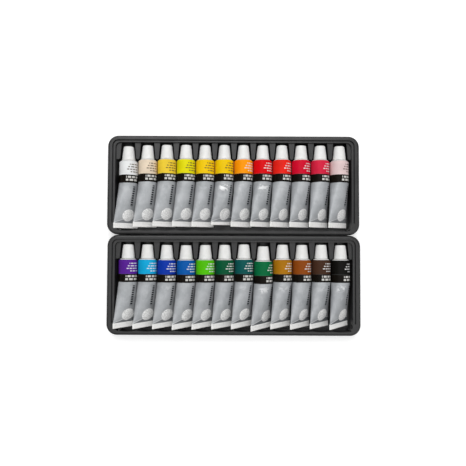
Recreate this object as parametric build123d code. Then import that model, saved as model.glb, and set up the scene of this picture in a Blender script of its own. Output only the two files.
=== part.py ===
from build123d import *
from math import cos, pi, radians, sin
import os

# Two vacuum-formed trays, edge to edge, with twelve collapsible paint tubes lying in each.
# Millimetres. +X runs along the rows, +Y towards the caps, +Z up, and the floor is at zero.

# Tubes
TUBE_R = 9.4
TUBE_WALL = 0.35
BODY_LEN = 68.3
ROUND_LEN = 22.0
SHOULDER_LEN = 1.4
SHOULDER_FLAT_R = 7.2
NOZZLE_R = 3.6
NOZZLE_LEN = 9.0
OUTLET_R = 1.8
PAINT_GAP = 0.1

# Folded tails, flattened at a slant so that each lies over the next like a shingle
CRIMP_LEN = 5.4
CRIMP_THICK = 1.6
NECKED_THICK = 1.0
TAIL_ROLL = 40.0
TAIL_SHIFT = 2.2
TAIL_RISE = 0.8
PAINT_END_SHARE = 0.88

# Caps
CAP_LEN = 14.3
CAP_BASE_R = 6.85
CAP_TOP_R = 5.2
CAP_EDGE = 0.8
CAP_SEAT_GAP = 0.3
THREAD_GAP = 0.3
CAP_TOP_GAP = 0.5

# Rows
TUBES_IN_ROW = 12
PITCH = 19.8

# Trays
SHEET = 0.8
TRAY_GAP = 0.4
TRAY_STAGGER = 0.8
RIM_HEIGHT = 16.5
RIM_EDGE_R = 2.4
CORNER_R = 11.0
INNER_CORNER_R = 5.0
SIDE_BAND = 4.9
BACK_BAND = 4.2
GROOVE_WIDTH = 1.5
GROOVE_DEPTH = 2.6
GROOVE_START = 12.0
SIDE_LEDGE = 1.7
BACK_LEDGE = 1.3
LEFT_SLOPE = 3.8
RIGHT_SLOPE = 1.2
FRONT_RIM = 4.6
FRONT_SLOPE = 0.8
BACK_SLOPE = 0.3
TUBE_GAP = 0.35
TROUGH_DROP = 0.3
TAIL_END_GAP = 3.5
CAP_END_GAP = 2.4
ROW_LEFT_GAP = 3.3
ROW_RIGHT_GAP = 2.2
WEB_DROP = 4.2
RIDGE_BACK_WIDTH = 6.2
RIDGE_FRONT_WIDTH = 3.1
RIDGE_SET_BACK = 0.2
RIDGE_RISE = 3.4
PAN_MARGIN = 1.0
BAY_DEPTH = 0.8
BAY_FLOOR = 2.8

# The colours of the two rows from left to right, and how far each tube has slipped to the front
BACK_ROW = {
    "white": 1.8,
    "peach": 0.6,
    "deep_yellow": 0.1,
    "lemon_yellow": 0,
    "golden_yellow": 0.2,
    "warm_yellow": 0,
    "orange": 0,
    "scarlet": 0,
    "vermilion": 0,
    "crimson": 0.1,
    "magenta": 0.2,
    "pale_pink": 0.6,
}
FRONT_ROW = {
    "violet": 0.4,
    "sky_blue": 0.4,
    "ultramarine": 0.8,
    "cobalt_blue": 1.0,
    "light_green": 0.7,
    "dark_green": 0.5,
    "teal": 0,
    "emerald_green": 1.8,
    "ochre": 0,
    "sienna": 0.2,
    "brown": 0,
    "black": 0.3,
}

# Heights and places that follow, in a tray's own frame with its middle at X 0 and Y 0
TROUGH_R = TUBE_R + TUBE_GAP
AXIS_Z = SHEET + TROUGH_DROP + TROUGH_R
SIDE_RIM = SIDE_BAND + GROOVE_WIDTH + SIDE_LEDGE
BACK_RIM = BACK_BAND + GROOVE_WIDTH + BACK_LEDGE
FIRST_IN = SIDE_RIM + ROW_LEFT_GAP + TUBE_R
LAST_IN = SIDE_RIM + ROW_RIGHT_GAP + TUBE_R
TRAY_LEN = FIRST_IN + (TUBES_IN_ROW - 1) * PITCH + LAST_IN
TUBE_LEN = BODY_LEN + SHOULDER_LEN + CAP_SEAT_GAP + CAP_LEN
TRAY_WIDTH = FRONT_RIM + TAIL_END_GAP + TUBE_LEN + CAP_END_GAP + BACK_RIM
FIRST_X = FIRST_IN - TRAY_LEN / 2
CAVITY_FRONT = FRONT_RIM - TRAY_WIDTH / 2
CAVITY_BACK = TRAY_WIDTH / 2 - BACK_RIM
TAIL_Y = CAVITY_FRONT + TAIL_END_GAP
CRIMP_Y = TAIL_Y + CRIMP_LEN
SHOULDER_Y = TAIL_Y + BODY_LEN
FLAT_Y = SHOULDER_Y + SHOULDER_LEN
CAP_Y = FLAT_Y + CAP_SEAT_GAP
ROUND_END_Y = SHOULDER_Y - ROUND_LEN
PAN_BACK_Y = ROUND_END_Y + PAN_MARGIN
RIDGE_Y = FLAT_Y - RIDGE_SET_BACK
RIDGE_TOP = AXIS_Z + RIDGE_RISE
WEB_TOP = AXIS_Z - WEB_DROP
ABOVE = RIM_HEIGHT + 10.0


def block(x0, x1, y0, y1, z0, z1):
    """A plain block between two corners."""
    centre = ((x0 + x1) / 2, (y0 + y1) / 2, (z0 + z1) / 2)
    return Pos(*centre) * Box(x1 - x0, y1 - y0, z1 - z0)


def cavity_outline(z, grow):
    """The inside of the rim at one height, drawn in as it goes down."""
    depth = (RIM_HEIGHT - z) / (RIM_HEIGHT - SHEET)
    left = SIDE_RIM - TRAY_LEN / 2 + LEFT_SLOPE * depth - grow
    right = TRAY_LEN / 2 - SIDE_RIM - RIGHT_SLOPE * depth + grow
    front = CAVITY_FRONT + FRONT_SLOPE * depth - grow
    back = CAVITY_BACK - BACK_SLOPE * depth + grow
    place = Plane(((left + right) / 2, (front + back) / 2, z))
    return place * RectangleRounded(right - left, back - front, INNER_CORNER_R + grow)


def cavity(grow):
    """The space inside the rim, grown by the sheet's thickness for the underside."""
    low = SHEET - grow
    high = RIM_HEIGHT + 2.0
    return loft([cavity_outline(low, grow), cavity_outline(high, grow)], ruled=True)


def trough(x, grow):
    """The round bed under one tube."""
    length = FLAT_Y + TUBE_GAP - PAN_BACK_Y + 2 * grow
    middle = (FLAT_Y + TUBE_GAP + PAN_BACK_Y) / 2
    return Pos(x, middle, AXIS_Z) * Rot(90, 0, 0) * Cylinder(TROUGH_R + grow, length)


def cap_slot(x, grow):
    """The narrower slot that a cap lies in, round below and open upwards."""
    front_half = (PITCH - RIDGE_FRONT_WIDTH) / 2 + grow
    back_half = (PITCH - RIDGE_BACK_WIDTH) / 2 + grow
    length = CAVITY_BACK - RIDGE_Y + grow
    place = Pos(x, RIDGE_Y + length / 2, AXIS_Z) * Rot(-90, 0, 0)
    corners = [
        (x - front_half, RIDGE_Y),
        (x + front_half, RIDGE_Y),
        (x + back_half, RIDGE_Y + length),
        (x - back_half, RIDGE_Y + length),
    ]
    sides = Plane((0, 0, AXIS_Z)) * make_face(Polyline(*corners, close=True))
    return place * Cone(front_half, back_half, length) + extrude(sides, RIM_HEIGHT - AXIS_Z)


def bay(x, grow):
    """The shallow hollow in the front wall, at the end of one tail."""
    bay_r = ((PITCH / 2) ** 2 + BAY_DEPTH**2) / (2 * BAY_DEPTH)
    low = BAY_FLOOR - grow
    front = CAVITY_FRONT - BAY_DEPTH
    disc = Pos(x, front + bay_r, (low + ABOVE) / 2) * Cylinder(bay_r + grow, ABOVE - low)
    half = PITCH / 2 + grow
    return disc & block(x - half, x + half, front - grow, CAVITY_FRONT + 1.0, low, ABOVE)


def groove(grow):
    """The narrow channel between the rim's band and the inner ledge, round three sides."""
    outer_half = TRAY_LEN / 2 - SIDE_BAND + grow
    outer_back = TRAY_WIDTH / 2 - BACK_BAND + grow
    inner_half = outer_half - GROOVE_WIDTH - 2 * grow
    inner_back = outer_back - GROOVE_WIDTH - 2 * grow
    front = GROOVE_START - TRAY_WIDTH / 2 - grow
    outer_r = CORNER_R - SIDE_BAND + grow
    inner_r = outer_r - GROOVE_WIDTH - 2 * grow
    far = TRAY_WIDTH
    outer = Pos(0, outer_back - far / 2) * RectangleRounded(2 * outer_half, far, outer_r)
    inner = Pos(0, inner_back - far / 2) * RectangleRounded(2 * inner_half, far, inner_r)
    ring = extrude(Plane((0, 0, RIM_HEIGHT - GROOVE_DEPTH - grow)) * (outer - inner), ABOVE)
    return ring - block(-TRAY_LEN, TRAY_LEN, -2 * far, front, 0, 2 * ABOVE)


def pockets(grow):
    """All that is pressed down inside the rim, as seen from above or from underneath."""
    half = TRAY_LEN / 2
    back = CAVITY_BACK + 5.0
    space = block(-half, half, CAVITY_FRONT - 5.0, PAN_BACK_Y + grow, -grow - 1, ABOVE)
    space += block(-half, half, PAN_BACK_Y, RIDGE_Y + grow, WEB_TOP - grow, ABOVE)
    space += block(-half, half, RIDGE_Y, back, RIDGE_TOP - grow, ABOVE)
    for x in tube_axes():
        space += trough(x, grow)
        space += cap_slot(x, grow)
    space = space & cavity(grow)
    for x in tube_axes():
        space += bay(x, grow)
    return space + groove(grow)


def tube_axes():
    """The X of each tube's axis in its tray."""
    return [FIRST_X + i * PITCH for i in range(TUBES_IN_ROW)]


def rim_block(inset):
    """The outside of the tray with its rolled upper edge, or the same form inside the sheet."""
    outline = RectangleRounded(TRAY_LEN - 2 * inset, TRAY_WIDTH - 2 * inset, CORNER_R - inset)
    low = -2 * inset
    form = extrude(Plane((0, 0, low)) * outline, RIM_HEIGHT - inset - low)
    top_edges = form.faces().sort_by(Axis.Z)[-1].edges()
    return fillet(top_edges, RIM_EDGE_R - inset)


def tray():
    """One formed sheet: its top surface less the same forms, one sheet's thickness lower."""
    return (rim_block(0) - pockets(0)) - (rim_block(SHEET) - pockets(SHEET))


def oval(share, inset):
    """One slanted oval across the flattening body, as long round as the tube's own circle."""
    half_thick = TUBE_R + (NECKED_THICK / 2 - TUBE_R) * share
    half_width = TUBE_R * (1 + (pi / 2 - 1) * (1 - (half_thick / TUBE_R) ** 1.7))
    place = Plane(
        origin=(-TAIL_SHIFT * share, ROUND_END_Y + (CRIMP_Y - ROUND_END_Y) * share, TAIL_RISE * share),
        x_dir=(cos(radians(TAIL_ROLL)), 0, -sin(radians(TAIL_ROLL))),
        z_dir=(0, -1, 0),
    )
    if share == 0:
        return place * Circle(TUBE_R - inset)
    return place * Ellipse(half_width - inset, half_thick - inset)


def flattened(inset, last_share):
    """The stretch of the body that goes from round to flat."""
    shares = [last_share * i / 4 for i in range(5)]
    return loft([oval(share, inset) for share in shares])


def turned(points):
    """A solid turned about the tube's axis from radius and height pairs."""
    return revolve(make_face(Polyline(*points, close=True)), Axis.Y)


def tube_skin():
    """The drawn tube: body, shoulder, neck with its outlet, and the folded tail."""
    outside = turned([
        (0, ROUND_END_Y),
        (TUBE_R, ROUND_END_Y),
        (TUBE_R, SHOULDER_Y),
        (SHOULDER_FLAT_R, FLAT_Y),
        (NOZZLE_R, FLAT_Y),
        (NOZZLE_R, FLAT_Y + NOZZLE_LEN),
        (0, FLAT_Y + NOZZLE_LEN),
    ])
    outside += flattened(0, 1)
    crimp_width = TUBE_R * pi - CRIMP_THICK / 2
    place = Plane(
        origin=(-TAIL_SHIFT, TAIL_Y + CRIMP_LEN / 2, TAIL_RISE),
        x_dir=(cos(radians(TAIL_ROLL)), 0, -sin(radians(TAIL_ROLL))),
        z_dir=(0, -1, 0),
    )
    outside += place * Box(crimp_width, CRIMP_THICK, CRIMP_LEN)
    outlet = turned([
        (0, SHOULDER_Y),
        (OUTLET_R, SHOULDER_Y),
        (OUTLET_R, FLAT_Y + NOZZLE_LEN + 1),
        (0, FLAT_Y + NOZZLE_LEN + 1),
    ])
    return outside - paint_space(TUBE_WALL) - outlet


def paint_space(inset):
    """The inside of the body, drawn in from the outside by an inset."""
    end = SHOULDER_Y - inset
    round_part = turned([
        (0, ROUND_END_Y),
        (TUBE_R - inset, ROUND_END_Y),
        (TUBE_R - inset, end),
        (0, end),
    ])
    return round_part + flattened(inset, PAINT_END_SHARE)


def filled_tube():
    """The tube and, as a solid of its own, the paint sealed in it."""
    return [tube_skin().solid(), paint_space(TUBE_WALL + PAINT_GAP).solid()]


def cap():
    """A tapered screw cap with a blind bore over the neck."""
    bore_r = NOZZLE_R + THREAD_GAP
    bore_end = CAP_Y + NOZZLE_LEN - CAP_SEAT_GAP + CAP_TOP_GAP
    form = turned([
        (bore_r, CAP_Y),
        (CAP_BASE_R, CAP_Y),
        (CAP_TOP_R, CAP_Y + CAP_LEN),
        (0, CAP_Y + CAP_LEN),
        (0, bore_end),
        (bore_r, bore_end),
    ])
    top_edge = form.edges().filter_by(GeomType.CIRCLE).sort_by(Axis.Y)[-1]
    return fillet(top_edge, CAP_EDGE)


def write_row(side, row, place):
    """One tray with its tubes and caps, each in a file of its own."""
    export_step(place * tray_form, f"parts/tray_{side}.step")
    for (colour, slip), x in zip(row.items(), tube_axes()):
        seat = place * Pos(x, -slip, AXIS_Z)
        solids = [seat * solid for solid in tube_solids]
        export_step(Compound(children=solids), f"parts/tube_{colour}.step")
        export_step(seat * cap_form, f"parts/cap_{colour}.step")


os.makedirs("parts", exist_ok=True)
tray_form = tray()
tube_solids = filled_tube()
cap_form = cap()
half_apart = (TRAY_WIDTH + TRAY_GAP) / 2
write_row("back", BACK_ROW, Pos(-TRAY_STAGGER / 2, half_apart, 0))
write_row("front", FRONT_ROW, Pos(TRAY_STAGGER / 2, -half_apart, 0))
print(f"tray {TRAY_LEN:.1f} x {TRAY_WIDTH:.1f}, axis height {AXIS_Z:.2f}, web top {WEB_TOP:.2f}")
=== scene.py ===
import math

import bpy
import numpy as np
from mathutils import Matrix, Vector


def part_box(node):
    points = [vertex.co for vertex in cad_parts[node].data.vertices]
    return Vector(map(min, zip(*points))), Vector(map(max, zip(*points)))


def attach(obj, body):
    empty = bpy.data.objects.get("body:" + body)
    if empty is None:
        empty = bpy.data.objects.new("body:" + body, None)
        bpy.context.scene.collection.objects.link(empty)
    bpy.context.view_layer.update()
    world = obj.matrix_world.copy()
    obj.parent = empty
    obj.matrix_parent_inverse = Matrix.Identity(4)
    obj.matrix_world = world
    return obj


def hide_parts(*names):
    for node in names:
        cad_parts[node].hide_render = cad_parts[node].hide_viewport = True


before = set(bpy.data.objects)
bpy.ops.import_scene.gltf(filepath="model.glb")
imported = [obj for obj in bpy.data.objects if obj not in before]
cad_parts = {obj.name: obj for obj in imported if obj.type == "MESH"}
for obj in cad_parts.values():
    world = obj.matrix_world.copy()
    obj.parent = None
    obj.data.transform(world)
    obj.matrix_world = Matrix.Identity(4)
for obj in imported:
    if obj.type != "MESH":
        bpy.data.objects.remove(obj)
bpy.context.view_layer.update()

MM = 0.001
SEED = 12

# The two rows from left to right: the printed band's colour, how crumpled the foil is, how far the
# folded tail is pulled in and turned askew, in millimetres, and how far the print has rolled to the
# right, as a share of the way round
BACK_ROW = {
    "white": ("#E7E8E8", 0.25, 0, 0, -0.01),
    "peach": ("#E8D6BE", 0.15, 0, 0.1, -0.01),
    "deep_yellow": ("#F2CF3A", 0.25, 0, 0, -0.015),
    "lemon_yellow": ("#E6DE0C", 0.15, 0, 0.1, -0.01),
    "golden_yellow": ("#F6CC0C", 0.25, 0, 0.1, -0.02),
    "warm_yellow": ("#F4CA08", 1.0, 2.0, 0.4, 0),
    "orange": ("#FF9A06", 0.3, 0, 0, 0),
    "scarlet": ("#DA0610", 0.7, 0.3, 0.1, -0.005),
    "vermilion": ("#E62419", 0.25, 0, 0, 0.01),
    "crimson": ("#D20C2E", 0.15, 0, 0.1, 0.01),
    "magenta": ("#D22442", 0.2, 0, 0, 0.015),
    "pale_pink": ("#E0C8C8", 0.2, 0, 0.1, 0.02),
}
FRONT_ROW = {
    "violet": ("#5A2295", 0.2, 0, 0.8, -0.01),
    "sky_blue": ("#10A6D8", 0.15, 0, 1.0, 0),
    "ultramarine": ("#0C36A6", 0.3, 0.2, 0.8, 0),
    "cobalt_blue": ("#0858A8", 0.15, 0, 1.1, 0.01),
    "light_green": ("#52C008", 0.15, 0, 1.0, 0),
    "dark_green": ("#045534", 0.2, 0, 0.8, 0.005),
    "teal": ("#0A5452", 0.3, 0, 1.2, -0.01),
    "emerald_green": ("#056C3E", 0.6, 0, 1.4, 0.05),
    "ochre": ("#AE740E", 0.4, 0, 0.9, 0.01),
    "sienna": ("#8C4610", 0.2, 0, 1.0, 0.015),
    "brown": ("#442C1F", 0.3, 0.3, 0.9, -0.01),
    "black": ("#100F0C", 0.7, 0.3, 1.4, 0.03),
}
# Bands so pale that the rules on them are dark
PALE_BANDS = ("white", "peach", "deep_yellow", "lemon_yellow", "golden_yellow", "warm_yellow", "pale_pink")

# Tube sizes that the frame's boxes don't give
SHOULDER_LEN = 1.4 * MM
SHOULDER_ROUND = 0.9 * MM
SHOULDER_FLAT_R = 7.2 * MM
CAP_SEAT_GAP = 0.3 * MM
NOZZLE_R = 3.6 * MM
NOZZLE_LEN = 9.0 * MM
OUTLET_R = 1.8 * MM
THREAD_PITCH = 1.6 * MM
THREAD_DEPTH = 0.35 * MM
ROUND_LEN = 22.0 * MM
CRIMP_LEN = 5.4 * MM
CRIMP_THICK = 1.5 * MM
CRIMP_SQUARENESS = 7.0
NECKED_THICK = 1.0 * MM
TAIL_ROLL = math.radians(40)
TAIL_SHIFT = 2.2 * MM
TAIL_RISE = 0.8 * MM
BULGE = 0.2 * MM
OVAL_SQUARENESS = 2.0

# Places along the crimp, in mm from the tail's end, and how far it reaches either side of its middle
# there, as a share of its thickness
CRIMP_PROFILE = ((0, 0.30), (0.12, 0.44), (0.45, 0.5), (1.3, 0.5), (2.2, 0.5), (2.5, 0.40), (2.8, 0.47),
                 (4.0, 0.5), (4.9, 0.5), (5.25, 0.42))

# How the thickness falls off towards the crimp
TAPER_POWER = 0.588

# The flat facet above the crimp: its height at the ridge's top, and the shares of it at both sides
FACET_RISE = 5.0 * MM
FACET_LEFT = 0.03
FACET_RIGHT = 0.85

# The sleeve's V runs from the shoulder, one unit for each 100 mm
SLEEVE_UNIT = 100.0

# Print along the tube, measured from the shoulder's edge
BAND_END = 13.9 * MM
BLACK_END = 22.1 * MM
DISC_FROM_TAIL = 13.2 * MM
DISC_R = 6.0 * MM

# Print round the tube, as shares of the way round from its right-hand side, and along it in mm
RULES_FROM = 0.135
LINE_ENDS_AND_WORDS = ((0.30, 17), (0.325, 13), (0.345, 19), (0.285, 15))
LINE_FIRST, LINE_PITCH, LINE_HEIGHT = 2.7, 2.55, 1.05
BAR_PLACES = ((1.3, 0.36, 14), (4.3, 0.365, 12))
BAR_HEIGHT = 2.0
SIDE_RULE_FROM, SIDE_RULE_TO = 0.178, 0.226
SIDE_RULE_GAP, SIDE_RULE_END = 3.5, 46.0
SIDE_DOT_PITCH = 2.3
DISC_ROUND_AT = 0.228
SLEEVE_ROUND = 59.0
DISC_WIDENING = 0.84
# Where the painted glints lie on crumpled foil, along it in mm and round it as shares
GLINT_ALONG = (25.5, 31.0)
GLINT_ROUND = (0.25, 0.43)

# Caps
CAP_RIBS = 44
RIB_DEPTH = 0.17 * MM
CAP_BORE_R = 3.9 * MM
CAP_TAPER = 5.4 / 7.0

# Points round a tube
AROUND = 96

# Linear colours of the bare foil, the print, the caps and the sheet
FOIL_DULL, FOIL_CLEAR = (0.37, 0.385, 0.40, 1.0), (0.46, 0.475, 0.49, 1.0)
FOIL_SCUFF = (0.60, 0.61, 0.62, 1.0)
# Painted shade for the folded facet and a painted highlight for its crease
FOIL_FACET_SHADE, FOIL_CREASE_HIGHLIGHT = (0.16, 0.17, 0.18, 1.0), (0.84, 0.85, 0.86, 1.0)
# A painted highlight for glints on crumpled foil
FOIL_PAINTED_GLINT = (0.98, 0.98, 0.98, 1.0)
SIDE_RULE_INK = (0.02, 0.02, 0.025, 1.0)
DARK_RULE, PALE_RULE = (0.09, 0.06, 0.04, 1.0), (0.74, 0.74, 0.73, 1.0)
BLACK_INK, BLACK_WORN = (0.005, 0.0035, 0.002, 1.0), (0.016, 0.012, 0.009, 1.0)
BAR_INK = (0.66, 0.65, 0.62, 1.0)
DISC_DULL, DISC_CLEAR = (0.70, 0.70, 0.695, 1.0), (0.98, 0.98, 0.97, 1.0)
TAIL_PALE, TAIL_WORN = (0.87, 0.865, 0.85, 1.0), (0.72, 0.715, 0.70, 1.0)
CAP_DULL, CAP_CLEAR = (0.76, 0.76, 0.745, 1.0), (0.80, 0.80, 0.79, 1.0)
CAP_SCUFF = (0.62, 0.61, 0.59, 1.0)
SHEET_DARK, SHEET_WORN = (0.009, 0.009, 0.0095, 1.0), (0.016, 0.016, 0.0165, 1.0)
SHEET_SCUFF = (0.045, 0.045, 0.045, 1.0)


def linear(hex_colour):
    """A screen colour as the linear light that the shaders take."""
    parts = [int(hex_colour[i:i + 2], 16) / 255 for i in (1, 3, 5)]
    light = [p / 12.92 if p <= 0.04045 else ((p + 0.055) / 1.055) ** 2.4 for p in parts]
    return (*light, 1.0)


def smooth(x):
    """An eased step from 0 to 1."""
    x = np.clip(x, 0, 1)
    return x * x * (3 - 2 * x)


def grid_object(name, points, uvs):
    """A closed form from rings of points, [ring, around, xyz], with the seam's own UV column."""
    rings, around, _ = points.shape
    verts = [tuple(p) for p in points.reshape(-1, 3)]
    faces = []
    corners = []
    for j in range(rings - 1):
        for i in range(around):
            k = (i + 1) % around
            faces.append((j * around + i, j * around + k, (j + 1) * around + k, (j + 1) * around + i))
            u0, u1 = i / around, (i + 1) / around
            corners += [(u0, uvs[j]), (u1, uvs[j]), (u1, uvs[j + 1]), (u0, uvs[j + 1])]
    for j, order in ((0, -1), (rings - 1, 1)):
        loop = list(range(j * around, (j + 1) * around))[::order]
        faces.append(tuple(loop))
        corners += [((v - j * around) / around, uvs[j]) for v in loop]
    mesh = bpy.data.meshes.new(name)
    mesh.from_pydata(verts, [], faces)
    layer = mesh.uv_layers.new(name="sleeve")
    layer.data.foreach_set("uv", np.array(corners, np.float32).ravel())
    mesh.polygons.foreach_set("use_smooth", [True] * len(faces))
    mesh.validate()
    mesh.update()
    ob = bpy.data.objects.new(name, mesh)
    bpy.context.scene.collection.objects.link(ob)
    return ob


class Tube:
    """The places of one tube, read from its CAD node and its cap's."""

    def __init__(self, colour, pulled_in=0):
        cap_low, cap_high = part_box("cap_" + colour)
        low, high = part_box("tube_" + colour)
        self.x = (cap_low.x + cap_high.x) / 2
        self.z = (cap_low.z + cap_high.z) / 2
        self.radius = self.z - low.z
        self.cap_y = cap_low.y
        self.cap_len = cap_high.y - cap_low.y
        self.cap_base_r = (cap_high.x - cap_low.x) / 2
        self.flat_y = self.cap_y - CAP_SEAT_GAP
        self.shoulder_y = self.flat_y - SHOULDER_LEN
        self.tail_y = low.y + pulled_in * MM
        self.crimp_y = self.tail_y + CRIMP_LEN
        self.round_end_y = self.shoulder_y - ROUND_LEN


def outline(half_width, half_thick, squareness):
    """AROUND points evenly spaced round a rounded oval, from its right-hand end over the top."""
    angle = np.linspace(0, 2 * math.pi, 1441)
    power = 2 / squareness
    x = half_width * np.sign(np.cos(angle)) * np.abs(np.cos(angle)) ** power
    y = half_thick * np.sign(np.sin(angle)) * np.abs(np.sin(angle)) ** power
    walked = np.concatenate([[0], np.cumsum(np.hypot(np.diff(x), np.diff(y)))])
    want = np.arange(AROUND) / AROUND * walked[-1]
    return np.interp(want, walked, x), np.interp(want, walked, y)


def flattened(share, radius):
    """Half width and half thickness of the oval that is as long round as the tube's own circle."""
    half_width = radius * (1 + (math.pi / 2 - 1) * share) - NECKED_THICK * share
    half_thick = max(radius * (1 - share) ** TAPER_POWER, NECKED_THICK / 2)
    bulge = BULGE * (1 - share)
    return half_width + bulge, half_thick + bulge


def waves(rng, count, u, v, longest, shortest):
    """Smooth wandering noise over the sleeve, periodic round it, between about -1 and 1."""
    total = np.zeros_like(u)
    for _ in range(count):
        turns = rng.integers(0, 5)
        length = rng.uniform(shortest, longest)
        phase = rng.uniform(0, 2 * math.pi, 2)
        total += np.sin(2 * math.pi * (turns * u + phase[0])) * np.sin(v / length * 2 * math.pi + phase[1])
    return total / math.sqrt(count)


def tube_rings(tube):
    """(Y, half width, half thickness, share of the flattening, squareness) of each ring, tail first."""
    crimp_half = tube.radius * math.pi / 2 - CRIMP_THICK / 2
    rings = []
    for y, half in CRIMP_PROFILE:
        rings.append((tube.tail_y + y * MM, crimp_half, CRIMP_THICK * half, 1.0, CRIMP_SQUARENESS))
    taper = tube.round_end_y - tube.crimp_y
    near = np.linspace(0, FACET_RISE, 23)
    far = np.linspace(FACET_RISE, taper, 38)[1:]
    for up in (*near, *far):
        share = 1 - up / taper
        rings.append((tube.crimp_y + up, *flattened(share, tube.radius), share, OVAL_SQUARENESS))
    for k in range(1, 13):
        y = tube.round_end_y + (tube.shoulder_y - SHOULDER_ROUND - tube.round_end_y) * k / 12
        rings.append((y, tube.radius + BULGE, tube.radius + BULGE, 0.0, OVAL_SQUARENESS))
    return rings


def folded(wide, thick, ring, tube, fold):
    """Creases the foil above the crimp: a flat facet climbs from the crimp to a slanting ridge."""
    y, half_width, half_thick, _, _ = ring
    up = y - tube.crimp_y
    if not 0 <= up < FACET_RISE:
        return thick
    from_left = (half_width + wide) / (2 * half_width)
    rise = np.interp(from_left, [0, fold, 1], [FACET_LEFT, 1.0, FACET_RIGHT]) * FACET_RISE
    fullness = np.abs(thick) / half_thick
    taper = tube.round_end_y - tube.crimp_y
    at_ridge = tube.radius * (rise / taper) ** TAPER_POWER * fullness
    base = np.minimum(np.abs(thick), NECKED_THICK / 2)
    facet = base + np.maximum(at_ridge - base, 0) * up / rise
    return np.where(up < rise, np.sign(thick) * np.minimum(facet, np.abs(thick)), thick)


def foil_dents(rng, crumple, radius, u, v):
    """How far each point of the foil is pushed in: soft waves and a few sharp little folds."""
    foil = smooth((v - CRIMP_LEN) / (6 * MM)) * smooth((ROUND_LEN * 2.05 - v) / (12 * MM))
    dents = np.clip(waves(rng, 9, u, v, 40 * MM, 14 * MM), 0, 2) * (0.10 + 0.26 * crumple) * MM
    for _ in range(int(2 + 9 * crumple)):
        # Each fold runs across the foil and is deepest in its middle
        u0, v0 = rng.uniform(0.08, 0.5), rng.uniform(10, 40) * MM
        lean = rng.uniform(-1.1, 1.1)
        reach = rng.uniform(3, 8) * MM
        across = (v - v0) * math.cos(lean) - (u - u0) * 2 * math.pi * radius * math.sin(lean)
        down = (v - v0) * math.sin(lean) + (u - u0) * 2 * math.pi * radius * math.cos(lean)
        crease = np.exp(-np.abs(across) / (0.9 * MM)) * np.exp(-(down / reach) ** 2)
        dents += crease * rng.uniform(0.12, 0.3 + 0.35 * crumple) * MM
    return dents * foil


def neck_rings(tube):
    """The turned rings of the shoulder, the threaded nozzle and its outlet."""
    turned = []
    # They start at the same corner of the seam as the rolled tail's rings
    angles = np.linspace(0, 2 * math.pi, AROUND, endpoint=False) - TAIL_ROLL
    ring_shape = np.stack([np.cos(angles), np.zeros(AROUND), np.sin(angles)], axis=1)

    def add_ring(r, y):
        turned.append(np.array([tube.x, y, tube.z]) + ring_shape * np.reshape(r, (-1, 1)))

    for k in range(1, 6):
        turn = k / 5 * math.radians(60)
        add_ring(tube.radius + BULGE - SHOULDER_ROUND * (1 - math.cos(turn)),
                 tube.shoulder_y - SHOULDER_ROUND * (1 - math.sin(turn)))
    add_ring(SHOULDER_FLAT_R + 0.5 * MM, tube.flat_y - 0.14 * MM)
    add_ring(SHOULDER_FLAT_R - 0.1 * MM, tube.flat_y)
    add_ring(NOZZLE_R + 0.35 * MM, tube.flat_y)
    add_ring(NOZZLE_R - THREAD_DEPTH, tube.flat_y + 0.3 * MM)
    for k in range(31):
        y = 0.6 * MM + (NOZZLE_LEN - 1.4 * MM) * k / 30
        phase = y / THREAD_PITCH - np.arange(AROUND) / AROUND
        crest = 0.5 + 0.5 * np.cos(2 * math.pi * phase)
        add_ring(NOZZLE_R - THREAD_DEPTH * (1 - crest), tube.flat_y + y)
    add_ring(NOZZLE_R - THREAD_DEPTH, tube.flat_y + NOZZLE_LEN - 0.5 * MM)
    add_ring(NOZZLE_R - THREAD_DEPTH - 0.3 * MM, tube.flat_y + NOZZLE_LEN)
    add_ring(OUTLET_R + 0.1 * MM, tube.flat_y + NOZZLE_LEN)
    add_ring(OUTLET_R, tube.flat_y + NOZZLE_LEN - 0.2 * MM)
    add_ring(OUTLET_R, tube.flat_y + 1.0 * MM)
    return np.array(turned)


def tube_piece(colour, crumple, pulled_in, askew, fold, rng):
    """The drawn tube: folded crimp, facets above it, body, shoulder and threaded neck."""
    tube = Tube(colour, pulled_in)
    along = np.array([math.cos(TAIL_ROLL), 0, -math.sin(TAIL_ROLL)])
    up = np.array([math.sin(TAIL_ROLL), 0, math.cos(TAIL_ROLL)])
    points = []
    for ring in tube_rings(tube):
        y, half_width, half_thick, share, squareness = ring
        wide, thick = outline(half_width, half_thick, squareness)
        thick = folded(wide, thick, ring, tube, fold)
        centre = np.array([tube.x - TAIL_SHIFT * share, y, tube.z + TAIL_RISE * share])
        slant = np.array([0, askew * MM / (tube.radius * math.pi / 2), 0]) * share ** 2
        points.append(centre + wide[:, None] * (along + slant) + thick[:, None] * up)
    points = np.array(points)
    ys = points[:, :, 1].mean(axis=1)
    inward = points.mean(axis=1, keepdims=True) - points
    inward /= np.maximum(np.linalg.norm(inward, axis=2, keepdims=True), 1e-9)
    u, v = np.meshgrid(np.arange(AROUND) / AROUND, ys - tube.tail_y)
    points = points + inward * foil_dents(rng, crumple, tube.radius, u, v)[:, :, None]
    points = np.concatenate([points, neck_rings(tube)])
    v_print = (tube.shoulder_y - points[:, :, 1].mean(axis=1)) / MM / SLEEVE_UNIT
    ob = grid_object("paint_tube_" + colour, points, v_print)
    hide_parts("tube_" + colour)
    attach(ob, "tube_" + colour)
    return ob, tube


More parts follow.
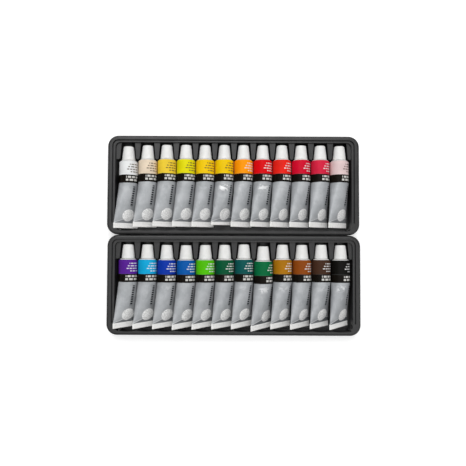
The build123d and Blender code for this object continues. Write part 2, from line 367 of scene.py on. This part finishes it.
def cap_piece(colour, tube):
    """The ribbed screw cap: tapered, with a rounded top edge and a blind bore."""
    around = CAP_RIBS * 4
    angle = np.linspace(0, 2 * math.pi, around, endpoint=False)
    rib = 0.5 + 0.5 * np.cos(angle * CAP_RIBS)
    top_r = tube.cap_base_r * CAP_TAPER
    rings = []

    def add_ring(r, y):
        r = np.broadcast_to(r, (around,))
        x, z = tube.x + r * np.cos(angle), tube.z + r * np.sin(angle)
        rings.append(np.stack([x, np.full(around, y), z], axis=1))

    y0, y1 = tube.cap_y, tube.cap_y + tube.cap_len
    bore_end = y0 + NOZZLE_LEN + 0.2 * MM
    add_ring(0.4 * MM, bore_end)
    add_ring(CAP_BORE_R, bore_end)
    add_ring(CAP_BORE_R, y0 + 0.4 * MM)
    add_ring(CAP_BORE_R + 0.3 * MM, y0)
    add_ring(tube.cap_base_r - 0.35 * MM, y0)
    add_ring(tube.cap_base_r - 0.08 * MM, y0 + 0.1 * MM)
    add_ring(tube.cap_base_r, y0 + 0.35 * MM)

    def side_r(y):
        return tube.cap_base_r + (top_r - tube.cap_base_r) * (y - y0) / (y1 - y0)

    add_ring(side_r(y0 + 0.9 * MM), y0 + 0.9 * MM)
    edge = 0.9 * MM
    for k in range(9):
        y = y0 + 1.1 * MM + (y1 - edge - y0 - 1.1 * MM) * k / 8
        depth = RIB_DEPTH * min(1, k / 0.6, (8.6 - k) / 1.2)
        add_ring(side_r(y) - depth * (1 - rib), y)
    base = side_r(y1 - edge)
    for k in range(1, 6):
        turn = k / 5 * math.pi / 2
        fade = RIB_DEPTH * 0.5 * (1 - k / 5)
        add_ring(base - edge * (1 - math.cos(turn)) - fade * (1 - rib), y1 - edge + edge * math.sin(turn))
    add_ring(base - edge - 0.6 * MM, y1 - 0.02 * MM)
    add_ring(base - edge - 0.9 * MM, y1 - 0.22 * MM)
    add_ring(0.4 * MM, y1 - 0.22 * MM)
    points = np.array(rings)
    ob = grid_object("screw_cap_" + colour, points, (points[:, 0, 1] - y0) / MM / SLEEVE_UNIT)
    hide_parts("cap_" + colour)
    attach(ob, "cap_" + colour)
    return ob


class Nodes:
    """Short ways to build a node tree."""

    def __init__(self, tree):
        self.tree = tree

    def new(self, kind, **values):
        node = self.tree.nodes.new(kind)
        for key, value in values.items():
            setattr(node, key, value)
        return node

    def put(self, socket, value):
        """Links a socket, or sets its constant."""
        if isinstance(value, bpy.types.NodeSocket):
            self.tree.links.new(value, socket)
        elif value is not None:
            socket.default_value = value

    def math(self, operation, *values, clamp=False):
        node = self.new("ShaderNodeMath", operation=operation, use_clamp=clamp)
        for socket, value in zip(node.inputs, values):
            self.put(socket, value)
        return node.outputs[0]

    def step(self, value, low, high, out_low=0.0, out_high=1.0):
        """An eased ramp of value from low to high."""
        node = self.new("ShaderNodeMapRange", interpolation_type="SMOOTHSTEP")
        for name, v in (("Value", value), ("From Min", low), ("From Max", high),
                        ("To Min", out_low), ("To Max", out_high)):
            self.put(node.inputs[name], v)
        return node.outputs["Result"]

    def between(self, value, low, high, soft):
        """1 where value lies between two edges, each soft wide."""
        rise = self.step(value, low - soft, low + soft)
        fall = self.step(value, high - soft, high + soft, 1.0, 0.0)
        return self.math("MULTIPLY", rise, fall)

    def mix(self, factor, a, b):
        node = self.new("ShaderNodeMix", data_type="RGBA")
        self.put(node.inputs[0], factor)
        self.put(node.inputs[6], a)
        self.put(node.inputs[7], b)
        return node.outputs[2]

    def noise(self, vector, scale, detail=2.0, roughness=0.5, distortion=0.0):
        node = self.new("ShaderNodeTexNoise")
        self.put(node.inputs["Vector"], vector)
        for name, v in (("Scale", scale), ("Detail", detail), ("Roughness", roughness),
                        ("Distortion", distortion)):
            self.put(node.inputs[name], v)
        return node.outputs["Fac"]

    def stretch(self, vector, scale):
        node = self.new("ShaderNodeMapping")
        self.put(node.inputs["Vector"], vector)
        node.inputs["Scale"].default_value = scale
        return node.outputs[0]

    def call(self, group, **values):
        node = self.new("ShaderNodeGroup", node_tree=group)
        for name, v in values.items():
            self.put(node.inputs[name.replace("_", " ")], v)
        return node.outputs


def group_of(name, inputs, outputs):
    """An empty node group with named sockets; returns its Nodes, its inputs and its output node."""
    tree = bpy.data.node_groups.new(name, "ShaderNodeTree")
    for socket_name, kind, default in inputs:
        socket = tree.interface.new_socket(name=socket_name, in_out="INPUT", socket_type=kind)
        if default is not None:
            socket.default_value = default
    for socket_name, kind in outputs:
        tree.interface.new_socket(name=socket_name, in_out="OUTPUT", socket_type=kind)
    nodes = Nodes(tree)
    given = nodes.new("NodeGroupInput").outputs
    taken = nodes.new("NodeGroupOutput")
    return nodes, given, taken


FLOAT, VECTOR = "NodeSocketFloat", "NodeSocketVector"


def dashes(nodes, u, v, place, height, start, end, words):
    """A plain rule across the sleeve, broken into a few dashes."""
    rule = nodes.math("MULTIPLY", nodes.between(v, place, place + height, 0.12),
                      nodes.between(u, start, end, 0.002))
    gaps = nodes.step(nodes.math("SINE", nodes.math("MULTIPLY", u, 2 * math.pi * words)), -0.95, -0.55)
    return nodes.math("MULTIPLY", rule, gaps)


def print_and_painted_light_group(body_len):
    """Where each print lies on a sleeve, and where the folded facet's painted shade and its crease's painted
    highlight lie: U runs round it from 0 to 1, V is mm from the shoulder.
    """
    nodes, given, taken = group_of(
        "Sleeve print and painted light",
        [("U", FLOAT, 0.0), ("V", FLOAT, 0.0), ("Wobble", FLOAT, 0.0), ("Fold", FLOAT, 0.6),
         ("Turn", FLOAT, 0.0)],
        [("Band", FLOAT), ("Black", FLOAT), ("Lines", FLOAT), ("Bars", FLOAT), ("Side line", FLOAT),
         ("Disc", FLOAT), ("Pale tail", FLOAT), ("Facet shade", FLOAT), ("Crease highlight", FLOAT)],
    )
    u, v = nodes.math("ADD", given["U"], given["Turn"]), given["V"]
    band_end, black_end = BAND_END / MM, BLACK_END / MM
    crimp_v = (body_len - CRIMP_LEN) / MM
    v_wobble = nodes.math("ADD", v, given["Wobble"])
    found = {}
    found["Band"] = nodes.between(v_wobble, -0.55, band_end, 0.12)
    found["Black"] = nodes.between(v_wobble, band_end, black_end, 0.12)
    lines = None
    for row, (end, words) in enumerate(LINE_ENDS_AND_WORDS):
        one = dashes(nodes, u, v, LINE_FIRST + LINE_PITCH * row, LINE_HEIGHT, RULES_FROM, end, words)
        lines = one if lines is None else nodes.math("MAXIMUM", lines, one)
    found["Lines"] = lines
    bars = [dashes(nodes, u, v, band_end + place, BAR_HEIGHT, RULES_FROM, end, words)
            for place, end, words in BAR_PLACES]
    found["Bars"] = nodes.math("MAXIMUM", *bars)
    # A dotted rule runs down the right of the bare foil
    wave = nodes.math("SINE", nodes.math("MULTIPLY", v, 2 * math.pi / SIDE_DOT_PITCH))
    dots = nodes.step(wave, -0.85, -0.35)
    side = nodes.math("MULTIPLY", nodes.between(u, SIDE_RULE_FROM, SIDE_RULE_TO, 0.003),
                      nodes.between(v, black_end + SIDE_RULE_GAP, SIDE_RULE_END, 0.3))
    found["Side line"] = nodes.math("MULTIPLY", side, dots)
    du = nodes.math("MULTIPLY", nodes.math("SUBTRACT", u, DISC_ROUND_AT), SLEEVE_ROUND * DISC_WIDENING)
    dv = nodes.math("SUBTRACT", v, (body_len - DISC_FROM_TAIL) / MM)
    squares = nodes.math("ADD", nodes.math("MULTIPLY", du, du), nodes.math("MULTIPLY", dv, dv))
    away = nodes.math("SQRT", squares)
    found["Disc"] = nodes.step(away, DISC_R / MM - 0.15, DISC_R / MM + 0.15, 1.0, 0.0)
    crimp = nodes.step(v, crimp_v - 0.1, crimp_v + 0.25)
    found["Pale tail"] = nodes.math("MAXIMUM", crimp, nodes.step(v, -0.65, -0.5, 1.0, 0.0))
    # Painted shade on the folded facet above the crimp, and a painted highlight along the crease at its top
    from_left = nodes.math("SUBTRACT", 1.0, nodes.math("MULTIPLY", given["U"], 2.0))
    climb = nodes.math("DIVIDE", from_left, given["Fold"])
    past = nodes.math("DIVIDE", nodes.math("SUBTRACT", from_left, given["Fold"]),
                      nodes.math("SUBTRACT", 1.0, given["Fold"]))
    fall = nodes.math("SUBTRACT", 1.0, nodes.math("MULTIPLY", past, 1 - FACET_RIGHT))
    rise = nodes.math("MULTIPLY", nodes.math("MINIMUM", climb, fall), FACET_RISE / MM)
    below = nodes.math("SUBTRACT", rise, nodes.math("SUBTRACT", crimp_v, v))
    found["Facet shade"] = nodes.step(below, -0.1, 0.15)
    found["Crease highlight"] = nodes.between(below, -0.6, 0.05, 0.15)
    for name, value in found.items():
        nodes.put(taken.inputs[name], value)
    return nodes.tree


def handled_group():
    """Handling marks in thin metal or plastic: small scuffs, cloudy patches and fine brushing."""
    nodes, given, taken = group_of(
        "Handling marks",
        [("Vector", VECTOR, None), ("Patch scale", FLOAT, 90.0), ("Scuff scale", FLOAT, 900.0)],
        [("Patches", FLOAT), ("Scuffs", FLOAT), ("Height", FLOAT)],
    )
    patches = nodes.noise(given["Vector"], given["Patch scale"], 3.0, 0.55)
    brushed = nodes.stretch(given["Vector"], (1.0, 0.22, 1.0))
    scuffs = nodes.noise(brushed, given["Scuff scale"], 3.0, 0.6, 0.4)
    nodes.put(taken.inputs["Patches"], nodes.step(patches, 0.35, 0.68))
    nodes.put(taken.inputs["Scuffs"], nodes.step(scuffs, 0.55, 0.72))
    height = nodes.math("ADD", nodes.math("MULTIPLY", patches, 0.7), nodes.math("MULTIPLY", scuffs, 0.3))
    nodes.put(taken.inputs["Height"], height)
    return nodes.tree


def new_material(name):
    """A material with only its output, ready to be built."""
    material = bpy.data.materials.new(name)
    material.use_nodes = True
    material.node_tree.nodes.clear()
    nodes = Nodes(material.node_tree)
    shader = nodes.new("ShaderNodeBsdfPrincipled")
    out = nodes.new("ShaderNodeOutputMaterial")
    nodes.put(out.inputs["Surface"], shader.outputs[0])
    return material, nodes, shader


def bump(nodes, shader, height, strength, distance):
    node = nodes.new("ShaderNodeBump")
    nodes.put(node.inputs["Height"], height)
    node.inputs["Strength"].default_value = strength
    node.inputs["Distance"].default_value = distance
    nodes.put(shader.inputs["Normal"], node.outputs[0])


def tube_finish(colour, band_hex, crumple, askew, turn, fold, sleeve_print_and_painted_light, handled):
    """Satin drawn aluminium with a coloured band, a black band, plain rules and a pale crimp, with painted
    shade on the folded facet and painted highlights on its crease and on crumpled foil.
    """
    material, nodes, shader = new_material("printed_foil_" + colour)
    uv = nodes.new("ShaderNodeUVMap", uv_map="sleeve")
    split = nodes.new("ShaderNodeSeparateXYZ")
    nodes.put(split.inputs[0], uv.outputs[0])
    u = split.outputs["X"]
    v = nodes.math("MULTIPLY", split.outputs["Y"], SLEEVE_UNIT)
    place = nodes.new("ShaderNodeTexCoord").outputs["Object"]
    marks = nodes.call(handled, Vector=place)
    wobble = nodes.math("MULTIPLY", nodes.math("SUBTRACT", nodes.noise(place, 160.0, 1.0), 0.5), 0.5)
    printed = nodes.call(sleeve_print_and_painted_light, U=u, V=v, Wobble=wobble, Fold=fold, Turn=turn)
    band = linear(band_hex)
    dark = tuple(c * 0.90 for c in band[:3]) + (1.0,)
    rule = DARK_RULE if colour in PALE_BANDS else PALE_RULE
    # Bare foil, with painted shade on the folded facet and a painted highlight along its crease
    foil = nodes.mix(marks["Patches"], FOIL_DULL, FOIL_CLEAR)
    foil = nodes.mix(nodes.math("MULTIPLY", marks["Scuffs"], 0.3), foil, FOIL_SCUFF)
    foil = nodes.mix(nodes.math("MULTIPLY", printed["Facet shade"], 0.40 + 0.4 * askew), foil, FOIL_FACET_SHADE)
    foil = nodes.mix(nodes.math("MULTIPLY", printed["Crease highlight"], 0.6 + 0.25 * askew), foil, FOIL_CREASE_HIGHLIGHT)
    # Painted highlight: glints painted whiter onto crumpled foil below the black band
    glint = nodes.math("MULTIPLY", nodes.between(v, *GLINT_ALONG, 2.5), nodes.between(u, *GLINT_ROUND, 0.04))
    creased = nodes.stretch(place, (0.5, 1.0, 1.0))
    glint = nodes.math("MULTIPLY", glint, nodes.step(nodes.noise(creased, 300.0, 2.0, 0.6, 0.8), 0.45, 0.56))
    foil = nodes.mix(nodes.math("MULTIPLY", glint, max(0, crumple - 0.15)), foil, FOIL_PAINTED_GLINT)
    foil = nodes.mix(printed["Side line"], foil, SIDE_RULE_INK)
    ink = nodes.mix(marks["Patches"], dark, band)
    ink = nodes.mix(nodes.math("MULTIPLY", printed["Lines"], 0.9), ink, rule)
    black = nodes.mix(marks["Scuffs"], BLACK_INK, BLACK_WORN)
    black = nodes.mix(nodes.math("MULTIPLY", printed["Bars"], 0.9), black, BAR_INK)
    mottle = nodes.step(nodes.noise(place, 1100.0, 2.0), 0.42, 0.60)
    disc = nodes.mix(mottle, DISC_DULL, DISC_CLEAR)
    pale = nodes.mix(marks["Scuffs"], TAIL_PALE, TAIL_WORN)
    base = nodes.mix(printed["Band"], foil, ink)
    base = nodes.mix(printed["Black"], base, black)
    base = nodes.mix(printed["Disc"], base, disc)
    base = nodes.mix(printed["Pale tail"], base, pale)
    nodes.put(shader.inputs["Base Color"], base)
    inked = nodes.math("MAXIMUM", printed["Band"], printed["Black"])
    covered = nodes.math("MAXIMUM", inked, nodes.math("MAXIMUM", printed["Disc"], printed["Pale tail"]))
    nodes.put(shader.inputs["Metallic"], nodes.math("MULTIPLY", nodes.math("SUBTRACT", 1.0, covered), 0.22))
    bare = nodes.step(marks["Patches"], 0.0, 1.0, 0.38, 0.50)
    coated = nodes.step(marks["Scuffs"], 0.0, 1.0, 0.34, 0.46)
    rough = nodes.new("ShaderNodeMix", data_type="FLOAT")
    nodes.put(rough.inputs[0], covered)
    nodes.put(rough.inputs[2], bare)
    nodes.put(rough.inputs[3], coated)
    nodes.put(shader.inputs["Roughness"], rough.outputs[0])
    nodes.put(shader.inputs["Specular IOR Level"], nodes.step(inked, 0.0, 1.0, 0.30, 0.08))
    raised = nodes.math("MULTIPLY", covered, 0.5)
    bump(nodes, shader, nodes.math("ADD", marks["Height"], raised), 0.35, 0.00025)
    return material


def cap_finish(handled):
    """White moulded plastic with a soft sheen and a few faint grey scuffs."""
    material, nodes, shader = new_material("ribbed_cap_plastic")
    place = nodes.new("ShaderNodeTexCoord").outputs["Object"]
    marks = nodes.call(handled, Vector=place, Patch_scale=220.0, Scuff_scale=1400.0)
    base = nodes.mix(marks["Patches"], CAP_DULL, CAP_CLEAR)
    base = nodes.mix(nodes.math("MULTIPLY", marks["Scuffs"], 0.15), base, CAP_SCUFF)
    nodes.put(shader.inputs["Base Color"], base)
    nodes.put(shader.inputs["Roughness"], nodes.step(marks["Scuffs"], 0.0, 1.0, 0.32, 0.44))
    shader.inputs["Subsurface Weight"].default_value = 0.08
    shader.inputs["Subsurface Radius"].default_value = (0.0012, 0.0011, 0.0010)
    bump(nodes, shader, marks["Height"], 0.12, 0.0001)
    return material


def tray_finish(handled):
    """Black vacuum-formed sheet: satin, faintly grained, paler where it is scuffed."""
    material, nodes, shader = new_material("formed_black_sheet")
    place = nodes.new("ShaderNodeTexCoord").outputs["Object"]
    marks = nodes.call(handled, Vector=place, Patch_scale=45.0, Scuff_scale=700.0)
    grain = nodes.noise(place, 3800.0, 1.0)
    base = nodes.mix(marks["Patches"], SHEET_DARK, SHEET_WORN)
    base = nodes.mix(nodes.math("MULTIPLY", marks["Scuffs"], 0.4), base, SHEET_SCUFF)
    nodes.put(shader.inputs["Base Color"], base)
    nodes.put(shader.inputs["Roughness"], nodes.step(marks["Patches"], 0.0, 1.0, 0.32, 0.44))
    shader.inputs["Specular IOR Level"].default_value = 0.5
    height = nodes.math("ADD", nodes.math("MULTIPLY", marks["Height"], 0.6),
                        nodes.math("MULTIPLY", grain, 0.25))
    bump(nodes, shader, height, 0.25, 0.0002)
    return material


def floor_finish():
    """A pale studio floor that shows white to the camera and keeps the shadow."""
    material, nodes, shader = new_material("studio_floor")
    path = nodes.new("ShaderNodeLightPath")
    place = nodes.new("ShaderNodeTexCoord").outputs["Object"]
    soft = nodes.noise(place, 3.0, 1.0)
    nodes.put(shader.inputs["Base Color"], nodes.mix(soft, (0.80, 0.80, 0.80, 1.0), (0.82, 0.82, 0.82, 1.0)))
    shader.inputs["Roughness"].default_value = 0.9
    shader.inputs["Specular IOR Level"].default_value = 0.1
    shader.inputs["Emission Color"].default_value = (1.0, 1.0, 1.0, 1.0)
    seen = nodes.math("MAXIMUM", path.outputs["Is Camera Ray"], path.outputs["Is Glossy Ray"])
    nodes.put(shader.inputs["Emission Strength"], nodes.math("MULTIPLY", seen, 0.44))
    return material


def studio():
    """Floor, soft lamps from above and behind, and a plain white world."""
    mesh = bpy.data.meshes.new("floor")
    half = 3.0
    corners = [(-half, -half, 0), (half, -half, 0), (half, half, 0), (-half, half, 0)]
    mesh.from_pydata(corners, [], [(0, 1, 2, 3)])
    floor = bpy.data.objects.new("studio_floor", mesh)
    floor.location.z = -0.0002
    bpy.context.scene.collection.objects.link(floor)
    mesh.materials.append(floor_finish())
    for name, place, size, power in (
        ("key", (-0.05, 0.75, 0.95), 0.9, 8.2),
        ("fill", (0.7, -0.35, 1.1), 1.2, 4.2),
        ("top", (-0.3, -0.1, 1.5), 1.4, 5.4),
    ):
        lamp = bpy.data.lights.new(name, "AREA")
        lamp.size = size
        lamp.energy = power
        ob = bpy.data.objects.new("lamp_" + name, lamp)
        ob.location = place
        ob.rotation_euler = (Vector((0, 0, 0)) - Vector(place)).to_track_quat("-Z", "Y").to_euler()
        bpy.context.scene.collection.objects.link(ob)
    world = bpy.data.worlds.new("studio")
    bpy.context.scene.world = world
    world.use_nodes = True
    nodes = Nodes(world.node_tree)
    world.node_tree.nodes.clear()
    path = nodes.new("ShaderNodeLightPath")
    shown = nodes.math("MAXIMUM", path.outputs["Is Camera Ray"], path.outputs["Is Transmission Ray"])
    back = nodes.new("ShaderNodeBackground")
    back.inputs["Color"].default_value = (1.0, 1.0, 1.0, 1.0)
    nodes.put(back.inputs["Strength"], nodes.step(shown, 0.0, 1.0, 0.32, 1.0))
    nodes.put(nodes.new("ShaderNodeOutputWorld").inputs["Surface"], back.outputs[0])


# The camera hangs almost straight over the trays, leaning a little towards their fronts
CAMERA_AT = (-0.0004, -0.0189, 0.5460)
CAMERA_LEAN = 0.0395
CAMERA_ROLL = 0.0046
CAMERA_FOCAL_SHARE = 520 / 466
SENSOR_WIDTH = 36.0


def camera():
    """The photograph's view, from overhead."""
    data = bpy.data.cameras.new("photo_view")
    data.sensor_width = SENSOR_WIDTH
    data.sensor_fit = "HORIZONTAL"
    data.lens = SENSOR_WIDTH * CAMERA_FOCAL_SHARE
    data.clip_start = 0.01
    ob = bpy.data.objects.new("photo_view", data)
    ob.location = CAMERA_AT
    ob.rotation_euler = (CAMERA_LEAN, 0, CAMERA_ROLL)
    bpy.context.scene.collection.objects.link(ob)
    bpy.context.scene.camera = ob


def build():
    rng = np.random.default_rng(SEED)
    # Every tube is the same length, so one of them places the print for all
    first = Tube("white")
    sleeve_print_and_painted_light = print_and_painted_light_group(first.shoulder_y - first.tail_y)
    handled = handled_group()
    caps = cap_finish(handled)
    sheet = tray_finish(handled)
    for row in (BACK_ROW, FRONT_ROW):
        for colour, (band_hex, crumple, pulled_in, askew, turn) in row.items():
            fold = rng.uniform(0.45, 0.62)
            body, tube = tube_piece(colour, crumple, pulled_in, askew, fold, rng)
            finish = tube_finish(colour, band_hex, crumple, askew, turn, fold, sleeve_print_and_painted_light, handled)
            body.data.materials.append(finish)
            cap = cap_piece(colour, tube)
            cap.data.materials.append(caps)
    for side in ("back", "front"):
        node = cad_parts["tray_" + side]
        node.data.materials.clear()
        node.data.materials.append(sheet)


build()
studio()
camera()
bpy.context.scene.view_settings.view_transform = "Standard"
